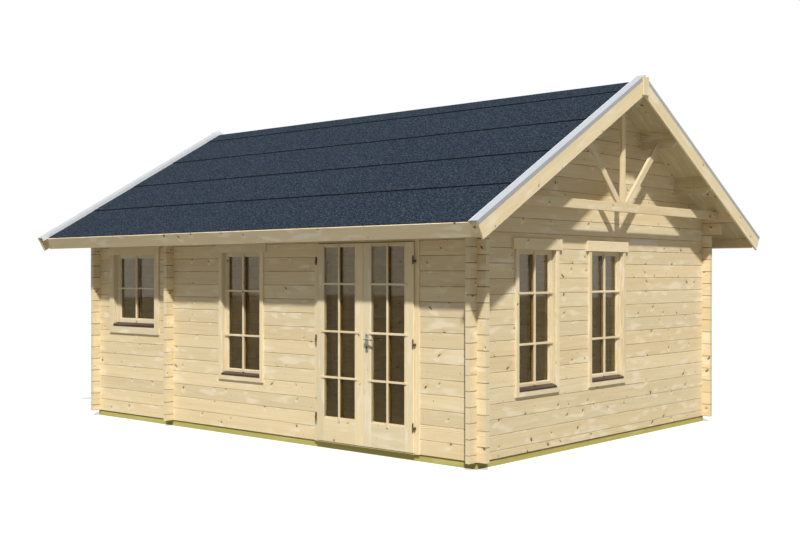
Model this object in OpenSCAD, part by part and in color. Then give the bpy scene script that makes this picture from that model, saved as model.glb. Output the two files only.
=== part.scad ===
// Log cabin with interlocked corners, a felt roof, a glazed double door, four windows and a gable truss.
// Millimetres, +Z up. The origin is on the ground at the middle of the plan.
// The front wall with the door faces -Y, and the gable with the truss faces +X.

/* [Log walls] */
// Length between the outer faces of the two gable walls
wall_length = 5600; // [5400:20:6200]
// Width between the outer faces of the two long walls
wall_width = 4200; // [4000:20:4600]
// Thickness of a log
log_t = 50; // [44:1:60]
// Height of one course of logs
log_h = 135; // [130:1:140]
// Full courses in a long wall
courses = 16; // [16:1:18]
// Height of the top log of a long wall, at its outer face
eave_log_h = 79; // [70:1:90]
// Length of a log end beyond the wall it crosses
log_end = 95; // [70:5:120]
// Length of the corbel log beyond the gable wall
corbel_end = 210; // [150:5:250]
// Depth of the groove along the seam of two logs
groove = 4; // [2:0.5:6]
// Gap at seams, notches and butt joints
fit = 0.4; // [0.2:0.1:0.6]
// Middle of the cross wall, measured from the middle of the plan
cross_wall_x = -1380; // [-1440:10:-1320]
// Width of the doorway in the cross wall
cross_door_w = 800; // [700:10:900]
// Height of the doorway in the cross wall above the floor
cross_door_h = 1870; // [1800:10:1950]

/* [Ground frame] */
// Height of the treated bearers
bearer_h = 60; // [45:1:80]
// Width of a bearer
bearer_w = 70; // [60:1:90]
// Setback of the bearers from the wall faces
bearer_inset = 12; // [5:1:20]
// Joists under the main room
main_joists = 5; // [3:1:7]
// Joists under the side room
side_joists = 1; // [1:1:2]
// Thickness of the floor boards
floor_t = 20; // [16:1:26]
// Gap between the floor and the walls
floor_gap = 8; // [4:1:12]

/* [Roof] */
// Pitch of the roof in degrees
pitch = 29.5; // [28:0.5:31]
// Thickness of the roof boards
board_t = 20; // [16:1:22]
// Thickness of the roofing felt
felt_t = 4; // [3:0.5:6]
// Level overhang of the roof boards beyond each long wall
eave_over = 441; // [420:1:470]
// Overhang of the roof boards beyond each gable wall
gable_over = 393; // [360:1:420]
// Thickness of the eave fascia
fascia_t = 20; // [16:1:24]
// Width of the eave fascia
fascia_w = 135; // [120:1:140]
// Width of the verge upstand
verge_w = 66; // [50:1:80]
// Height of the verge upstand above the felt
verge_rise = 40; // [35:1:55]
// Length of the verge beyond the fascia, along the slope
verge_run = 66; // [50:1:80]
// Depth of the barge boards below the felt
barge_drop = 127; // [110:1:135]
// Thickness of a barge board
barge_t = 22; // [18:1:28]
// Thickness of the metal verge trim
trim_t = 2; // [1.5:0.5:3]
// Depth of the metal lip over the barge board
trim_lip = 32; // [20:1:40]
// Width of the board that covers the apex of the barge boards
apex_w = 100; // [80:1:120]
// Height of the apex board
apex_h = 180; // [160:1:200]
// Thickness of the apex board
apex_t = 20; // [16:1:24]
// Height of the apex board above the metal trim at its edges
apex_rise = 10; // [0:1:20]

/* [Purlins and gable truss] */
// Thickness of a purlin
purlin_t = 50; // [44:1:60]
// Height of a purlin
purlin_h = 180; // [160:1:200]
// Level distance from the ridge to the upper purlins
upper_purlin_y = 672; // [640:1:700]
// Level distance from the ridge to the lower purlins
lower_purlin_y = 1407; // [1370:1:1440]
// Chamfer at the lower corner of a purlin end
purlin_nose = 45; // [20:1:60]
// Distance of the truss from the gable wall
truss_x = 162; // [140:1:180]
// Thickness of the truss timbers
truss_t = 28; // [22:1:40]
// Height of the tie beam
tie_h = 88; // [70:1:95]
// Rise of the tie beam above the eave logs at their inner faces
tie_rise = 16; // [0:1:25]
// Width of the king post and of the braces
post_w = 68; // [55:1:80]

/* [Double door] */
// Middle of the door, measured from the middle of the plan
door_x = 1512; // [1480:1:1540]
// Width of one leaf
leaf_w = 604; // [580:1:640]
// Thickness of a leaf
leaf_t = 44; // [40:1:50]
// Gap round the leaves
leaf_gap = 5; // [5:0.5:7]
// Level of the leaf bottom above the bearers
leaf_lift = 12; // [11:1:16]
// Gap between the leaf tops and the fascia that they swing under
leaf_head_gap = 9; // [7:1:15]
// Width of a leaf stile
stile_w = 95; // [85:1:110]
// Height of the bottom rail
bottom_rail = 224; // [200:1:260]
// Height of the top rail
top_rail = 40; // [36:1:60]
// Width of a frame post
frame_w = 45; // [40:1:60]
// Depth of the frame
frame_d = 70; // [66:1:80]
// Height of the frame face above the log face
frame_proud = 12; // [8:1:16]
// Height of the leaf face above the frame face
leaf_proud = 20; // [15:1:24]
// Depth of the stop behind the leaves
stop_w = 15; // [10:1:20]
// Thickness of the door and window glass
glass_t = 14; // [10:1:18]
// Gap between the glass and its frame
glass_gap = 0.3; // [0.2:0.1:0.5]

/* [Door fittings] */
// Radius of a hinge knuckle
knuckle_r = 7; // [6:0.5:7.5]
// Radius of a hinge pin
pin_r = 4; // [3:0.5:4.5]
// Length of a hinge pin above its knuckle
pin_len = 30; // [24:1:34]
// Running gap round the pin and between the knuckles
pin_gap = 0.3; // [0.2:0.1:0.5]
// Height of one knuckle
knuckle_h = 38; // [36:1:45]
// Height of the lowest hinge above the leaf bottom
hinge_low = 229; // [150:1:260]
// Height of the highest hinge below the leaf top
hinge_high = 160; // [150:1:260]
// Height of the handle above the leaf bottom
handle_z = 985; // [920:5:1030]
// Distance of the handle from the edge of the leaf
handle_in = 48; // [42:1:60]
// Width of a handle plate
plate_w = 38; // [32:1:44]
// Height of a handle plate
plate_h = 168; // [150:1:200]
// Distance of the spindle below the top of its plate
lever_drop = 50; // [40:1:80]
// Thickness of a handle plate
plate_t = 6; // [4:0.5:8]
// Radius of the spindle
spindle_r = 7; // [6:0.5:8]
// Length of a lever
lever_len = 115; // [95:1:125]
// Radius of a lever
lever_r = 9; // [8:0.5:10]
// Distance of a lever from its plate
lever_out = 40; // [32:1:48]

/* [Windows] */
// Middle of the tall front window, measured from the middle of the plan
front_tall_x = -227; // [-250:1:-200]
// Middle of the first gable window, measured from the middle of the plan
gable_a_y = -1210; // [-1240:1:-1190]
// Middle of the second gable window, measured from the middle of the plan
gable_b_y = -5; // [-20:1:20]
// Width of the hole for a tall window
tall_w = 616; // [580:1:640]
// Level of the bottom of a tall window hole
tall_z = 610; // [590:1:640]
// Height of the hole for a tall window
tall_h = 1274; // [1240:1:1290]
// Width of the frame and sash timber beside the glass of a tall window
tall_sash = 52; // [45:1:65]
// Middle of the small front window, measured from the middle of the plan
small_x = -2070; // [-2080:1:-2050]
// Width of the hole for the small window
small_w = 796; // [760:1:830]
// Level of the bottom of the small window hole
small_z = 1058; // [1030:1:1090]
// Height of the hole for the small window
small_h = 826; // [790:1:840]
// Width of the frame and sash timber beside the glass of the small window
small_sash = 72; // [60:1:85]
// Width of the casing boards of a tall window
tall_casing = 48; // [40:1:60]
// Width of the casing boards of the small window
small_casing = 80; // [65:1:85]
// Thickness of the casing boards
casing_t = 18; // [14:1:22]
// Thickness of the frame that lines a window hole
frame_t = 12; // [8:1:18]
// Height of the head board of a casing
head_h = 101; // [90:1:115]
// Reach of a tall head board past its side boards
tall_reach = 42; // [20:1:50]
// Reach of the small head board past its side boards
small_reach = 10; // [5:1:20]
// Extra thickness of the head board
head_step = 6; // [3:1:10]
// Setback of the sash behind the log face
sash_setback = 34; // [25:1:36]
// Thickness of the sash
sash_t = 34; // [32:1:36]
// Setback of the glass behind the face of the sash
glass_set = 19; // [14:1:20]
// Height of the bottom rail of a tall sash
tall_foot = 60; // [50:1:70]
// Height of the bottom rail of the small sash
small_foot = 84; // [75:1:100]
// Height of the frame and top sash rail over the glass
sash_head = 46; // [38:1:55]
// Height of a sill at the sash
sill_h = 34; // [28:1:40]
// Height of a sill at its front edge
sill_front = 17; // [12:1:22]
// Reach of a sill in front of the casing
sill_out = 6; // [3:1:15]

/* [Hidden] */
$fn = 48;

spruce = "#e4cd9c";
treated = "#b7ad60";
felt_colour = "#37424f";
metal = "#ccd3da";
pane = "#57513a";
sill_colour = "#4d2f2c";
hinge_colour = "#4a3524";
steel = "#b9bcbe";

// Half plan, wall centre lines and levels
half_x = wall_length / 2;
half_y = wall_width / 2;
line_x = half_x - log_t / 2;
line_y = half_y - log_t / 2;
inner_x = half_x - log_t;
inner_y = half_y - log_t;
plate_z = bearer_h + courses * log_h;
door_course = courses - 2;
gable_top_z = plate_z + log_h / 2;
floor_z = bearer_h + floor_t;
margin = 1;

// Roof line: s runs down the slope from the ridge, n stands square to it from the top of the felt
roof_t = board_t + felt_t;
under_rise = tan(pitch);
eave_under_z = plate_z + eave_log_h;
ridge_under_z = eave_under_z + half_y * under_rise;
ridge_z = ridge_under_z + roof_t / cos(pitch);
function under_z(y) = ridge_under_z - abs(y) * under_rise;
function roof_pt(side, s, n) = [
    side * (s * cos(pitch) + n * sin(pitch)),
    ridge_z - s * sin(pitch) + n * cos(pitch)
];
function ridge_pt(side, n) = [side * fit / 2, ridge_z + n / cos(pitch) - fit / 2 * under_rise];

slope_len = (half_y + eave_over) / cos(pitch);
roof_x = half_x + gable_over;
upstand_x = roof_x - verge_w;
fascia_s = slope_len + fascia_t;
verge_s = fascia_s + verge_run;
barge_x = roof_x + barge_t;
fascia_low_z = roof_pt(1, fascia_s, -felt_t - fascia_w)[1];

// Door levels and planes
leaf_z0 = bearer_h + leaf_lift;
leaf_z1 = fascia_low_z - leaf_head_gap;
leaf_h = leaf_z1 - leaf_z0;
pair_half = leaf_w + leaf_gap / 2;
frame_in = pair_half + leaf_gap;
frame_out = frame_in + frame_w;
frame_face = -half_y - frame_proud;
leaf_face = frame_face - leaf_proud;
leaf_back = leaf_face + leaf_t;
frame_back = frame_face + frame_d;
frame_head_z = leaf_z1 + leaf_gap;
frame_top_z = frame_head_z + frame_w;
glass_w = leaf_w - 2 * stile_w;
pin_y = leaf_face - knuckle_r - margin;
pin_x = pair_half + leaf_gap / 2;
hinge_z = [
    leaf_z0 + hinge_low,
    (leaf_z0 + hinge_low + leaf_z1 - hinge_high) / 2,
    leaf_z1 - hinge_high
];
handle_x = door_x + leaf_gap / 2 + handle_in;
handle_level = leaf_z0 + handle_z;

// Extrudes a profile of the Y and Z directions along X
module along_x(x0, x1) {
    translate([x0, 0, 0]) rotate([90, 0, 90]) linear_extrude(x1 - x0) children();
}

// Extrudes a profile of the X and Z directions along Y
module along_y(y0, y1) {
    translate([0, y1, 0]) rotate([90, 0, 0]) linear_extrude(y1 - y0) children();
}

module box(x0, x1, y0, y1, z0, z1) {
    translate([x0, y0, z0]) cube([x1 - x0, y1 - y0, z1 - z0]);
}

// Section of a log about the centre line of its wall, with grooved edges
module log_section(line, z0, z1) {
    low = z0 + fit / 2;
    high = z1 - fit / 2;
    half = log_t / 2;
    polygon([
        for (side = [-1, 1], p = side < 0
            ? [[-half + groove, high], [-half, high - groove], [-half, low + groove], [-half + groove, low]]
            : [[half - groove, low], [half, low + groove], [half, high - groove], [half - groove, high]])
        [line + p[0], p[1]]
    ]);
}

// Log of a long wall: in each crossing it keeps the middle half of a course
module long_log(line, x0, x1, z0, z1, crossings) {
    difference() {
        along_x(x0, x1) log_section(line, z0, z1);
        for (x = crossings, z = [z0, z1])
            box(x - log_t / 2 - fit, x + log_t / 2 + fit, line - log_t, line + log_t,
                z - log_h / 4 - fit / 2, z + log_h / 4 + fit / 2);
    }
}

// Log of a gable or cross wall, which lies half a course above the long logs
module short_log(line, y0, y1, z0, z1, crossings) {
    difference() {
        along_y(y0, y1) log_section(line, z0, z1);
        for (y = crossings, z = z0 > bearer_h ? [z0, z1] : [z1])
            box(line - log_t, line + log_t, y - log_t / 2 - fit, y + log_t / 2 + fit,
                z - log_h / 4 - fit / 2, z + log_h / 4 + fit / 2);
    }
}

all_crossings = [-line_x, cross_wall_x, line_x];

// Top log of a long wall, planed to the roof and run out to the barge boards
module eave_log(side) {
    reach = roof_x - fit;
    low = plate_z + fit / 2;
    difference() {
        along_x(-reach, reach) polygon([
            [side * half_y, low],
            [side * inner_y, low],
            [side * inner_y, under_z(inner_y) - fit],
            [side * half_y, under_z(half_y) - fit]
        ]);
        for (x = all_crossings)
            box(x - log_t / 2 - fit, x + log_t / 2 + fit, side * line_y - log_t, side * line_y + log_t,
                plate_z - margin, plate_z + log_h / 4 + fit / 2);
        for (end = [-1, 1])
            purlin_nose_cut(end * reach, plate_z);
    }
}

// Slanting cut across the lower corner of a purlin end
module purlin_nose_cut(x, z) {
    translate([x, 0, z]) rotate([0, 45, 0])
        cube([purlin_nose * sqrt(2), wall_width + log_h, purlin_nose * sqrt(2)], center = true);
}

// Full logs of a long wall, between two ends and two course numbers
module long_courses(side, x0, x1, from, to) {
    for (k = [from:to - 1]) {
        corbel = k == courses - 1 ? corbel_end - log_end : 0;
        long_log(side * line_y, x0 - corbel, x1 + corbel,
            bearer_h + k * log_h, bearer_h + (k + 1) * log_h, all_crossings);
    }
}

// Space below the roof boards, as a slice across the building
module under_roof(x0, x1) {
    reach = half_y + 2 * log_end;
    along_x(x0, x1) polygon([
        [-reach, under_z(reach) - fit],
        [0, ridge_under_z - fit],
        [reach, under_z(reach) - fit],
        [reach, 0],
        [-reach, 0]
    ]);
}

// Logs of a gable or cross wall, from the half log at the bottom up to the gable
module short_courses(x) {
    y1 = half_y + log_end;
    top_low = gable_top_z - log_h;
    short_log(x, -y1, y1, bearer_h, bearer_h + log_h / 2, [-line_y, line_y]);
    for (k = [1:courses - 1])
        short_log(x, -y1, y1, bearer_h + (k - 0.5) * log_h, bearer_h + (k + 0.5) * log_h, [-line_y, line_y]);
    intersection() {
        short_log(x, -y1, y1, top_low, gable_top_z, [-line_y, line_y]);
        under_roof(x - log_t, x + log_t);
    }
}

module long_bearers() {
    y1 = half_y - bearer_inset;
    x1 = half_x - bearer_inset;
    color(treated)
        for (side = [-1, 1])
            box(-x1, x1, side * (y1 - bearer_w / 2) - bearer_w / 2, side * (y1 - bearer_w / 2) + bearer_w / 2,
                0, bearer_h);
}

// Bearers under the gable and cross walls, with evenly spaced joists between them
module cross_bearers() {
    y1 = half_y - bearer_inset - bearer_w - fit;
    end_x = half_x - bearer_inset - bearer_w / 2;
    side_step = (cross_wall_x + end_x) / (side_joists + 1);
    main_step = (end_x - cross_wall_x) / (main_joists + 1);
    lines = concat(
        [for (i = [0:side_joists]) -end_x + i * side_step],
        [for (i = [0:main_joists + 1]) cross_wall_x + i * main_step]
    );
    color(treated)
        for (x = lines)
            box(x - bearer_w / 2, x + bearer_w / 2, -y1, y1, 0, bearer_h);
}

module floor_boards() {
    y1 = inner_y - floor_gap;
    side_edge = cross_wall_x - log_t / 2 - floor_gap;
    main_edge = cross_wall_x + log_t / 2 + floor_gap;
    color(spruce) {
        box(-inner_x + floor_gap, side_edge, -y1, y1, bearer_h, floor_z);
        box(main_edge, inner_x - floor_gap, -y1, y1, bearer_h, floor_z);
    }
}

// Hole for a window in a wall that faces -Y
module front_hole(x, w, z, h) {
    box(x - w / 2, x + w / 2, -half_y - log_t, -half_y + 2 * log_t, z, z + h);
}

// Hole for a window in the wall that faces +X
module gable_hole(y, w, z, h) {
    box(half_x - 2 * log_t, half_x + log_t, y - w / 2, y + w / 2, z, z + h);
}

module front_windows_cut() {
    front_hole(front_tall_x, tall_w, tall_z, tall_h);
    front_hole(small_x, small_w, small_z, small_h);
}

module front_wall_left() {
    color(spruce) difference() {
        long_courses(-1, -half_x - log_end, door_x - frame_out - fit, 0, door_course);
        front_windows_cut();
    }
}

module front_wall_right() {
    color(spruce) long_courses(-1, door_x + frame_out + fit, half_x + log_end, 0, door_course);
}

module front_wall_top() {
    color(spruce) difference() {
        union() {
            long_courses(-1, -half_x - log_end, half_x + log_end, door_course, courses);
            eave_log(-1);
        }
        front_windows_cut();
        front_hole(door_x, 2 * (frame_out + fit), bearer_h, frame_top_z + fit - bearer_h);
    }
}

module back_wall() {
    color(spruce) {
        long_courses(1, -half_x - log_end, half_x + log_end, 0, courses);
        eave_log(1);
    }
}

module right_gable_wall() {
    color(spruce) difference() {
        short_courses(line_x);
        for (y = [gable_a_y, gable_b_y])
            gable_hole(y, tall_w, tall_z, tall_h);
    }
}

module left_gable_wall() {
    color(spruce) short_courses(-line_x);
}

// Cross wall with an open doorway at the middle
module cross_wall() {
    color(spruce) difference() {
        short_courses(cross_wall_x);
        box(cross_wall_x - log_t, cross_wall_x + log_t, -cross_door_w / 2, cross_door_w / 2,
            bearer_h - margin, floor_z + cross_door_h);
    }
}

// Section of a purlin on one slope, with its top planed to the roof
module purlin_section(side, y, grow = 0) {
    low = under_z(y) - purlin_h - grow;
    polygon([
        [side * (y - grow), low],
        [side * (y + purlin_t + grow), low],
        [side * (y + purlin_t + grow), under_z(y + purlin_t + grow) - fit + grow],
        [side * (y - grow), under_z(y - grow) - fit + grow]
    ]);
}

module ridge_section(grow = 0) {
    half = purlin_t / 2 + grow;
    low = ridge_under_z - purlin_h - grow;
    polygon([
        [-half, low],
        [half, low],
        [half, under_z(half) - fit + grow],
        [0, ridge_under_z - fit + grow],
        [-half, under_z(half) - fit + grow]
    ]);
}

// Logs of a gable above the long walls, cut to the roof and round the purlins
module gable_peak(line) {
    peak_courses = ceil((ridge_under_z - gable_top_z) / log_h);
    y1 = inner_y - fit;
    difference() {
        intersection() {
            for (k = [0:peak_courses - 1])
                along_y(-y1, y1)
                    log_section(line, gable_top_z + k * log_h, gable_top_z + (k + 1) * log_h);
            under_roof(line - log_t, line + log_t);
        }
        along_x(line - 2 * log_t, line + 2 * log_t) ridge_section(fit);
        for (side = [-1, 1], y = [upper_purlin_y, lower_purlin_y])
            along_x(line - 2 * log_t, line + 2 * log_t) purlin_section(side, y, fit);
    }
}

module right_gable_peak() {
    color(spruce) gable_peak(line_x);
}

module left_gable_peak() {
    color(spruce) gable_peak(-line_x);
}

module ridge_purlin() {
    reach = roof_x - fit;
    color(spruce) difference() {
        along_x(-reach, reach) ridge_section();
        for (end = [-1, 1])
            purlin_nose_cut(end * reach, ridge_under_z - purlin_h);
    }
}

module side_purlins() {
    reach = roof_x - fit;
    color(spruce)
        for (side = [-1, 1], y = [upper_purlin_y, lower_purlin_y])
            difference() {
                along_x(-reach, reach) purlin_section(side, y);
                for (end = [-1, 1])
                    purlin_nose_cut(end * reach, under_z(y) - purlin_h);
            }
}

// Truss in front of the right gable: a tie beam between the eave logs, a king post and two braces
tie_top = under_z(inner_y) + tie_rise;
truss_x0 = half_x + truss_x;
truss_x1 = truss_x0 + truss_t;

module tie_beam() {
    color(spruce) intersection() {
        box(truss_x0, truss_x1, -inner_y + fit, inner_y - fit, tie_top - tie_h, tie_top);
        under_roof(truss_x0 - margin, truss_x1 + margin);
    }
}

module king_post() {
    color(spruce) box(truss_x0, truss_x1, -post_w / 2, post_w / 2, tie_top, ridge_under_z - purlin_h - fit);
}

// A brace leans at 45 degrees from the foot of the king post to an upper purlin
module truss_braces() {
    face_y = upper_purlin_y - fit;
    foot_y = post_w / 2 + fit;
    top_z = tie_top + fit + face_y - foot_y;
    slant = post_w * sqrt(2);
    color(spruce)
        for (side = [-1, 1])
            along_x(truss_x0, truss_x1) polygon([
                [side * foot_y, tie_top + fit],
                [side * (foot_y + slant), tie_top + fit],
                [side * face_y, top_z - slant],
                [side * face_y, top_z],
            ]);
}

// Sheet that follows one slope between two heights above the felt line
module slope_sheet(side, x0, x1, n0, n1, s_end) {
    along_x(x0, x1) polygon([
        ridge_pt(side, n1), roof_pt(side, s_end, n1), roof_pt(side, s_end, n0), ridge_pt(side, n0)
    ]);
}

module slope_strip(side, x0, x1, s0, s1, n0, n1) {
    along_x(x0, x1) polygon([
        roof_pt(side, s0, n1), roof_pt(side, s1, n1), roof_pt(side, s1, n0), roof_pt(side, s0, n0)
    ]);
}

module roof_boards(side) {
    color(spruce) slope_sheet(side, -roof_x, roof_x, -roof_t, -felt_t, slope_len);
}

module felt(side) {
    color(felt_colour) slope_sheet(side, -upstand_x, upstand_x, -felt_t + fit, 0, fascia_s - fascia_t / 2);
}

module front_roof_boards() {
    roof_boards(-1);
}

module back_roof_boards() {
    roof_boards(1);
}

module front_felt() {
    felt(-1);
}

module back_felt() {
    felt(1);
}

module fascia(side) {
    color(spruce)
        slope_strip(side, -roof_x + fit, roof_x - fit, slope_len + fit, fascia_s,
            -felt_t - fascia_w, -felt_t);
}

module front_fascia() {
    fascia(-1);
}

module back_fascia() {
    fascia(1);
}

// Boards on edge along the verges, between the felt and the barge boards
module verge_upstands() {
    color(spruce)
        for (end = [-1, 1], side = [-1, 1]) {
            x0 = end > 0 ? upstand_x : -roof_x;
            low = -felt_t + fit;
            slope_sheet(side, end > 0 ? x0 + fit : x0, end > 0 ? x0 + verge_w : x0 + verge_w - fit,
                low, verge_rise, fascia_s);
        }
}

module barge_boards(end) {
    x0 = end > 0 ? roof_x : -barge_x;
    color(spruce)
        for (side = [-1, 1])
            slope_sheet(side, x0, x0 + barge_t, -barge_drop, verge_rise, verge_s);
}

module right_barge_boards() {
    barge_boards(1);
}

module left_barge_boards() {
    barge_boards(-1);
}

// Folded metal strip over the upstand, with a lip on the face of the barge board
module verge_trim(end) {
    x0 = end > 0 ? upstand_x - trim_t : -barge_x - trim_t;
    lip_x = end > 0 ? barge_x : -barge_x - trim_t;
    leg_x = end > 0 ? upstand_x - trim_t : -upstand_x;
    low = verge_rise + fit;
    color(metal)
        for (side = [-1, 1]) {
            slope_sheet(side, x0, x0 + verge_w + barge_t + 2 * trim_t, low, low + trim_t, verge_s);
            slope_sheet(side, leg_x, leg_x + trim_t, fit, low + trim_t, verge_s);
            slope_sheet(side, lip_x, lip_x + trim_t, verge_rise - trim_lip, low + trim_t, verge_s);
        }
}

module right_verge_trim() {
    verge_trim(1);
}

module left_verge_trim() {
    verge_trim(-1);
}

module apex_boards() {
    top_z = ridge_pt(1, verge_rise + trim_t)[1] - apex_w / 2 * under_rise + apex_rise;
    color(spruce)
        for (end = [-1, 1]) {
            x0 = end > 0 ? barge_x + trim_t : -barge_x - trim_t - apex_t;
            box(x0, x0 + apex_t, -apex_w / 2, apex_w / 2, top_z - apex_h, top_z);
        }
}

// Two posts, a head and a sill board, with stops behind the leaves
module door_frame() {
    stop_y = leaf_back + leaf_gap;
    stop_in = frame_in - fit - stop_w;
    low_z = leaf_z0 - leaf_gap - margin;
    color(spruce) translate([door_x, 0, 0]) {
        for (side = [-1, 1]) {
            x0 = side > 0 ? frame_in : -frame_out;
            x1 = side > 0 ? stop_in : -stop_in - stop_w;
            box(x0, x0 + frame_w, frame_face, frame_back, bearer_h, frame_head_z - fit);
            box(x1, x1 + stop_w, stop_y, frame_back, bearer_h, frame_head_z - fit);
        }
        box(-frame_out, frame_out, frame_face, frame_back, frame_head_z, frame_top_z);
        box(-stop_in + fit, stop_in - fit, stop_y, frame_back, frame_head_z - fit - stop_w, frame_head_z - fit);
        box(-stop_in + fit, stop_in - fit, stop_y, frame_back, bearer_h, leaf_z0 + stop_w);
        box(-frame_in + fit, frame_in - fit, frame_face, stop_y - fit, bearer_h, low_z);
    }
}

// One leaf, hung at its outer edge: stiles and rails in one frame round the glass
module door_leaf(side) {
    x0 = door_x + (side > 0 ? leaf_gap / 2 : -pair_half);
    color(spruce) difference() {
        box(x0, x0 + leaf_w, leaf_face, leaf_back, leaf_z0, leaf_z1);
        box(x0 + stile_w, x0 + leaf_w - stile_w, leaf_face - margin, leaf_back + margin,
            leaf_z0 + bottom_rail, leaf_z1 - top_rail);
        if (side > 0)
            spindle_bore(leaf_face - margin, leaf_back + margin);
    }
}

module door_glass(side) {
    x0 = door_x + (side > 0 ? leaf_gap / 2 : -pair_half) + stile_w + glass_gap;
    y0 = (leaf_face + leaf_back - glass_t) / 2;
    color(pane) box(x0, x0 + glass_w - 2 * glass_gap, y0, y0 + glass_t,
        leaf_z0 + bottom_rail + glass_gap, leaf_z1 - top_rail - glass_gap);
}

module left_door_leaf() {
    door_leaf(-1);
}

module right_door_leaf() {
    door_leaf(1);
}

module left_door_glass() {
    door_glass(-1);
}

module right_door_glass() {
    door_glass(1);
}

// Lower knuckle with its pin, on an arm that reaches back to the frame post
module frame_hinges() {
    color(hinge_colour)
        for (side = [-1, 1], z = hinge_z)
            translate([door_x + side * pin_x, pin_y, z]) {
                translate([0, 0, -knuckle_h]) cylinder(h = knuckle_h, r = knuckle_r);
                cylinder(h = pin_len, r = pin_r);
                arm_x0 = side > 0 ? leaf_gap / 2 : -leaf_gap / 2 - knuckle_r;
                box(arm_x0, arm_x0 + knuckle_r, 0, frame_face - pin_y, -knuckle_h, 0);
            }
}

// Upper knuckle with a blind bore, on a flap that lies on the face of the leaf
module leaf_hinges(side) {
    flap_t = leaf_face - pin_y;
    flap_x0 = side > 0 ? -leaf_gap / 2 - 2 * knuckle_r : leaf_gap / 2;
    color(hinge_colour)
        for (z = hinge_z)
            translate([door_x + side * pin_x, pin_y, z + pin_gap])
                difference() {
                    union() {
                        cylinder(h = knuckle_h, r = knuckle_r);
                        box(flap_x0, flap_x0 + 2 * knuckle_r, 0, flap_t, 0, knuckle_h);
                    }
                    translate([0, 0, -margin])
                        cylinder(h = pin_len + margin + pin_gap, r = pin_r + pin_gap);
                }
}

module left_leaf_hinges() {
    leaf_hinges(-1);
}

module right_leaf_hinges() {
    leaf_hinges(1);
}

module spindle_bore(y0, y1) {
    translate([handle_x, y1, handle_level]) rotate([90, 0, 0]) cylinder(h = y1 - y0, r = spindle_r + pin_gap);
}

// Long plates on both faces of the right leaf
module handle_plates() {
    color(steel)
        for (face = [-1, 1]) {
            y0 = face < 0 ? leaf_face - plate_t : leaf_back;
            difference() {
                box(handle_x - plate_w / 2, handle_x + plate_w / 2, y0, y0 + plate_t,
                    handle_level + lever_drop - plate_h, handle_level + lever_drop);
                spindle_bore(y0 - margin, y0 + plate_t + margin);
            }
        }
}

// Spindle through the leaf with a lever at each end
module handle_lever() {
    y0 = leaf_face - plate_t - lever_out;
    y1 = leaf_back + plate_t + lever_out;
    color(steel) translate([handle_x, 0, handle_level]) {
        translate([0, y1, 0]) rotate([90, 0, 0]) cylinder(h = y1 - y0, r = spindle_r);
        for (y = [y0, y1])
            translate([-lever_r - 2 * margin, y, 0]) rotate([0, 90, 0]) cylinder(h = lever_len, r = lever_r);
    }
}

// Places what is drawn for a wall facing -Y at x = 0 on the right gable instead
module on_gable(y) {
    translate([half_x, y, 0]) rotate([0, 0, 90]) translate([0, half_y, 0]) children();
}

module on_front(x) {
    translate([x, 0, 0]) children();
}

// Two side boards, a stepped head board and a bottom board round one window hole
module casing(w, z, h, board, reach) {
    in = w / 2 - frame_t;
    out = in + board;
    head = z + h - frame_t;
    for (side = [-1, 1])
        box(side > 0 ? in : -out, side > 0 ? out : -in, -half_y - casing_t, -half_y, z + fit, head - fit);
    box(-out, out, -half_y - casing_t, -half_y, z - board, z);
    box(-out - reach, out + reach, -half_y - casing_t - head_step, -half_y, head, head + head_h);
}

// Frame that lines the hole, with the sash at its back
module sash(w, z, h, bar, foot) {
    face = -half_y + sash_setback;
    back = face + sash_t;
    difference() {
        box(-w / 2 + fit, w / 2 - fit, -half_y, back, z + fit, z + h - fit);
        box(-w / 2 + frame_t, w / 2 - frame_t, -half_y - margin, face, z - margin, z + h - frame_t);
        box(-w / 2 + bar, w / 2 - bar, face - margin, back + margin, z + foot, z + h - sash_head);
    }
}

module glass(w, z, h, bar, foot) {
    y0 = -half_y + sash_setback + glass_set;
    box(-w / 2 + bar + glass_gap, w / 2 - bar - glass_gap, y0, y0 + glass_t,
        z + foot + glass_gap, z + h - sash_head - glass_gap);
}

// Sloping sill on the bottom of the hole and on the bottom casing board
module sill(w, z) {
    half = w / 2 - frame_t - fit;
    y0 = -half_y - casing_t - sill_out;
    y1 = -half_y + sash_setback - fit;
    low = z + fit;
    along_x(-half, half)
        polygon([[y0, low], [y1, low], [y1, low + sill_h], [y0, low + sill_front]]);
}

module tall_window_casings() {
    color(spruce) {
        on_front(front_tall_x) casing(tall_w, tall_z, tall_h, tall_casing, tall_reach);
        for (y = [gable_a_y, gable_b_y])
            on_gable(y) casing(tall_w, tall_z, tall_h, tall_casing, tall_reach);
    }
}

module small_window_casing() {
    color(spruce) on_front(small_x) casing(small_w, small_z, small_h, small_casing, small_reach);
}

module tall_window_sashes() {
    color(spruce) {
        on_front(front_tall_x) sash(tall_w, tall_z, tall_h, tall_sash, tall_foot);
        for (y = [gable_a_y, gable_b_y])
            on_gable(y) sash(tall_w, tall_z, tall_h, tall_sash, tall_foot);
    }
}

module small_window_sash() {
    color(spruce) on_front(small_x) sash(small_w, small_z, small_h, small_sash, small_foot);
}

module window_glass() {
    color(pane) {
        on_front(front_tall_x) glass(tall_w, tall_z, tall_h, tall_sash, tall_foot);
        for (y = [gable_a_y, gable_b_y])
            on_gable(y) glass(tall_w, tall_z, tall_h, tall_sash, tall_foot);
        on_front(small_x) glass(small_w, small_z, small_h, small_sash, small_foot);
    }
}

module window_sills() {
    color(sill_colour) {
        on_front(front_tall_x) sill(tall_w, tall_z);
        for (y = [gable_a_y, gable_b_y])
            on_gable(y) sill(tall_w, tall_z);
        on_front(small_x) sill(small_w, small_z);
    }
}

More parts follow.
